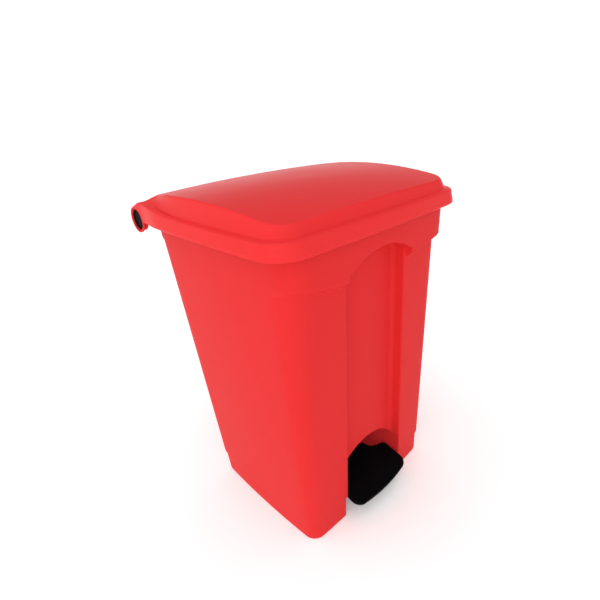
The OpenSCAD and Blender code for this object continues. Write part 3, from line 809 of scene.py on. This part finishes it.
for side, node in ((-1, "hinge_pin_left"), (1, "hinge_pin_right")):
    pin = make_pin(side)
    pin.name = node.replace("pin", "plug")
    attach(pin, "container")
    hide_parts(node)


# ---------------------------------------------------------------- materials
def node_material(name, color, rough, rough_amp, tint, mottle, grain, grain_size,
                  metallic=0.0, bump_dist=0.0002, spec=0.5):
    """Moulded or plain material: colour and roughness vary slowly, and a fine grain lifts the surface."""
    mat = bpy.data.materials.new(name)
    mat.use_nodes = True
    tree = mat.node_tree
    shader = tree.nodes["Principled BSDF"]
    shader.inputs["Metallic"].default_value = metallic
    shader.inputs["Specular IOR Level"].default_value = spec
    where = tree.nodes.new("ShaderNodeTexCoord")

    def noise(scale, detail):
        n = tree.nodes.new("ShaderNodeTexNoise")
        n.inputs["Scale"].default_value = scale
        n.inputs["Detail"].default_value = detail
        tree.links.new(where.outputs["Object"], n.inputs["Vector"])
        return n

    slow = noise(mottle, 2)
    ramp_node = tree.nodes.new("ShaderNodeValToRGB")
    ramp_node.color_ramp.elements[0].position = 0.15
    ramp_node.color_ramp.elements[1].position = 0.85
    ramp_node.color_ramp.elements[0].color = (*[c * (1 - tint) for c in color], 1)
    ramp_node.color_ramp.elements[1].color = (*[min(1, c * (1 + tint)) for c in color], 1)
    tree.links.new(slow.outputs["Fac"], ramp_node.inputs["Fac"])
    tree.links.new(ramp_node.outputs["Color"], shader.inputs["Base Color"])
    patch = noise(mottle * 3.7, 2)
    span = tree.nodes.new("ShaderNodeMapRange")
    span.inputs["From Min"].default_value = 0.15
    span.inputs["From Max"].default_value = 0.85
    span.inputs["To Min"].default_value = rough - rough_amp
    span.inputs["To Max"].default_value = rough + rough_amp
    tree.links.new(patch.outputs["Fac"], span.inputs["Value"])
    tree.links.new(span.outputs["Result"], shader.inputs["Roughness"])
    fine = noise(grain_size, 3)
    bump = tree.nodes.new("ShaderNodeBump")
    bump.inputs["Strength"].default_value = grain
    bump.inputs["Distance"].default_value = bump_dist
    tree.links.new(fine.outputs["Fac"], bump.inputs["Height"])
    tree.links.new(bump.outputs["Normal"], shader.inputs["Normal"])
    return mat


# The red plastic's own colour plus painted sheen: green and blue are raised to stand in for the white
# reflection that the low specular level leaves out.
RED_AND_PAINTED_SHEEN = node_material("red_moulded_and_painted_sheen", (0.72, 0.028, 0.029), 0.45, 0.03, 0.02, 4.0, 0.25, 900,
                    bump_dist=0.00012, spec=0.04)
# The lid's copy of the same red plastic is lighter, with painted light and painted sheen: a brighter base,
# and green and blue raised in place of the lowered specular reflection.
RED_LID_PAINTED_LIGHT_AND_SHEEN = node_material("red_lid_painted_light_and_sheen", (0.78, 0.034, 0.036), 0.3, 0.02, 0.015, 4.0, 0.12, 700,
                        bump_dist=0.0001, spec=0.035)
BLACK = node_material("black_moulded", (0.0022, 0.0022, 0.0028), 0.42, 0.06, 0.2, 9.0, 0.35, 1400,
                      bump_dist=0.00012, spec=0.02)
STEEL = node_material("zinc_plated_steel", (0.55, 0.56, 0.58), 0.32, 0.08, 0.06, 30.0, 0.15, 900,
                      metallic=1.0)
RUBBER = node_material("rubber", (0.018, 0.018, 0.018), 0.75, 0.08, 0.2, 20.0, 0.4, 1500)

container.data.materials.append(RED_AND_PAINTED_SHEEN)
lid.data.materials.append(RED_LID_PAINTED_LIGHT_AND_SHEEN)
BY_SLOT = {"red_plastic": RED_AND_PAINTED_SHEEN, "black_plastic": BLACK, "steel": STEEL, "rubber": RUBBER}
SLOT_OF = {s["node"]: s["material_slot"] for s in frame["record"]["subparts"]}


def paint(obj, mat):
    obj.data.materials.clear()
    obj.data.materials.append(mat)


for obj in (pedal, bpy.data.objects["hinge_plug_left"], bpy.data.objects["hinge_plug_right"]):
    paint(obj, BLACK)
for node, obj in frame["nodes"].items():
    paint(obj, BY_SLOT[SLOT_OF[node]])


# ---------------------------------------------------------------- camera
LENS, SHIFT = 25.378, (-0.0372, 0.0185)
AZIMUTH, ELEVATION, ROLL = -43.57, 26.52, -3.649
CAMERA_AT = (-0.4697, -0.5434, 0.7056)


def place_camera():
    cam = bpy.data.cameras.new("camera")
    cam.lens = LENS
    cam.sensor_width = 36.0
    cam.shift_x, cam.shift_y = SHIFT
    cam.clip_start = 0.01
    cam.dof.use_dof = False
    obj = bpy.data.objects.new("camera", cam)
    scene.collection.objects.link(obj)
    az, el, roll = (math.radians(v) for v in (AZIMUTH, ELEVATION, ROLL))
    right = Vector((math.cos(az), math.sin(az), 0))
    back = Vector((math.sin(az) * math.cos(el), -math.cos(az) * math.cos(el), math.sin(el)))
    up = back.cross(right)
    right2 = right * math.cos(roll) + up * math.sin(roll)
    up2 = up * math.cos(roll) - right * math.sin(roll)
    m = Matrix((right2, up2, back)).transposed().to_4x4()
    m.translation = Vector(CAMERA_AT)
    obj.matrix_world = m
    scene.camera = obj


place_camera()


# ---------------------------------------------------------------- stage and light
FLOOR_HALF = 40000


def make_stage():
    h = FLOOR_HALF
    floor = new_object("floor", [(-h, -h, 0), (h, -h, 0), (h, h, 0), (-h, h, 0)], [(0, 1, 2, 3)])
    mat = bpy.data.materials.new("floor")
    mat.use_nodes = True
    p = mat.node_tree.nodes["Principled BSDF"]
    p.inputs["Base Color"].default_value = (0.97, 0.97, 0.97, 1)
    p.inputs["Roughness"].default_value = 0.9
    p.inputs["Specular IOR Level"].default_value = 0.0
    p.inputs["Emission Color"].default_value = (1, 1, 1, 1)
    p.inputs["Emission Strength"].default_value = 0.2
    floor.data.materials.append(mat)
    world = bpy.data.worlds.new("world")
    scene.world = world
    world.use_nodes = True
    tree = world.node_tree
    where = tree.nodes.new("ShaderNodeTexCoord")
    split = tree.nodes.new("ShaderNodeSeparateXYZ")
    tree.links.new(where.outputs["Generated"], split.inputs["Vector"])
    behind = tree.nodes.new("ShaderNodeVectorMath")
    behind.operation = "DOT_PRODUCT"
    behind.inputs[1].default_value = (0.69, 0.72, 0.0)
    tree.links.new(where.outputs["Generated"], behind.inputs[0])

    def span(socket, low, high, start, end):
        node = tree.nodes.new("ShaderNodeMapRange")
        node.interpolation_type = "SMOOTHSTEP"
        for name, value in (("From Min", low), ("From Max", high), ("To Min", start), ("To Max", end)):
            node.inputs[name].default_value = value
        tree.links.new(socket, node.inputs["Value"])
        return node.outputs["Result"]

    def times(one, two):
        node = tree.nodes.new("ShaderNodeMath")
        node.operation = "MULTIPLY"
        tree.links.new(one, node.inputs[0])
        tree.links.new(two, node.inputs[1])
        return node.outputs["Value"]

    raised = span(split.outputs["Z"], 0.17, 0.24, 0, 1)
    shade = times(span(behind.outputs["Value"], 0.0, 0.5, 0, 1), raised)
    shade = times(shade, span(split.outputs["Z"], 0.6, 0.9, 1, 0))
    right = tree.nodes.new("ShaderNodeVectorMath")
    right.operation = "DOT_PRODUCT"
    right.inputs[1].default_value = (0.72, -0.69, 0.0)
    tree.links.new(where.outputs["Generated"], right.inputs[0])
    side = times(span(right.outputs["Value"], 0.3, 0.9, 0, 1), raised)
    light = times(span(shade, 0, 1, 1, 0.3), span(side, 0, 1, 1.05, 0.3))
    strength = times(light, span(split.outputs["Z"], 0.5, 0.95, 1, 1.25))
    tree.links.new(strength, tree.nodes["Background"].inputs["Strength"])
    tree.nodes["Background"].inputs["Color"].default_value = (1, 1, 1, 1)
    scene.view_settings.view_transform = "Standard"
    light = bpy.data.lights.new("key", "AREA")
    light.size = 1.6
    light.energy = 8
    obj = bpy.data.objects.new("key", light)
    scene.collection.objects.link(obj)
    obj.location = (-1.9, -1.3, 0.9)
    obj.rotation_euler = (Vector((0, 0, 0.3)) - obj.location).to_track_quat("-Z", "Y").to_euler()


make_stage()
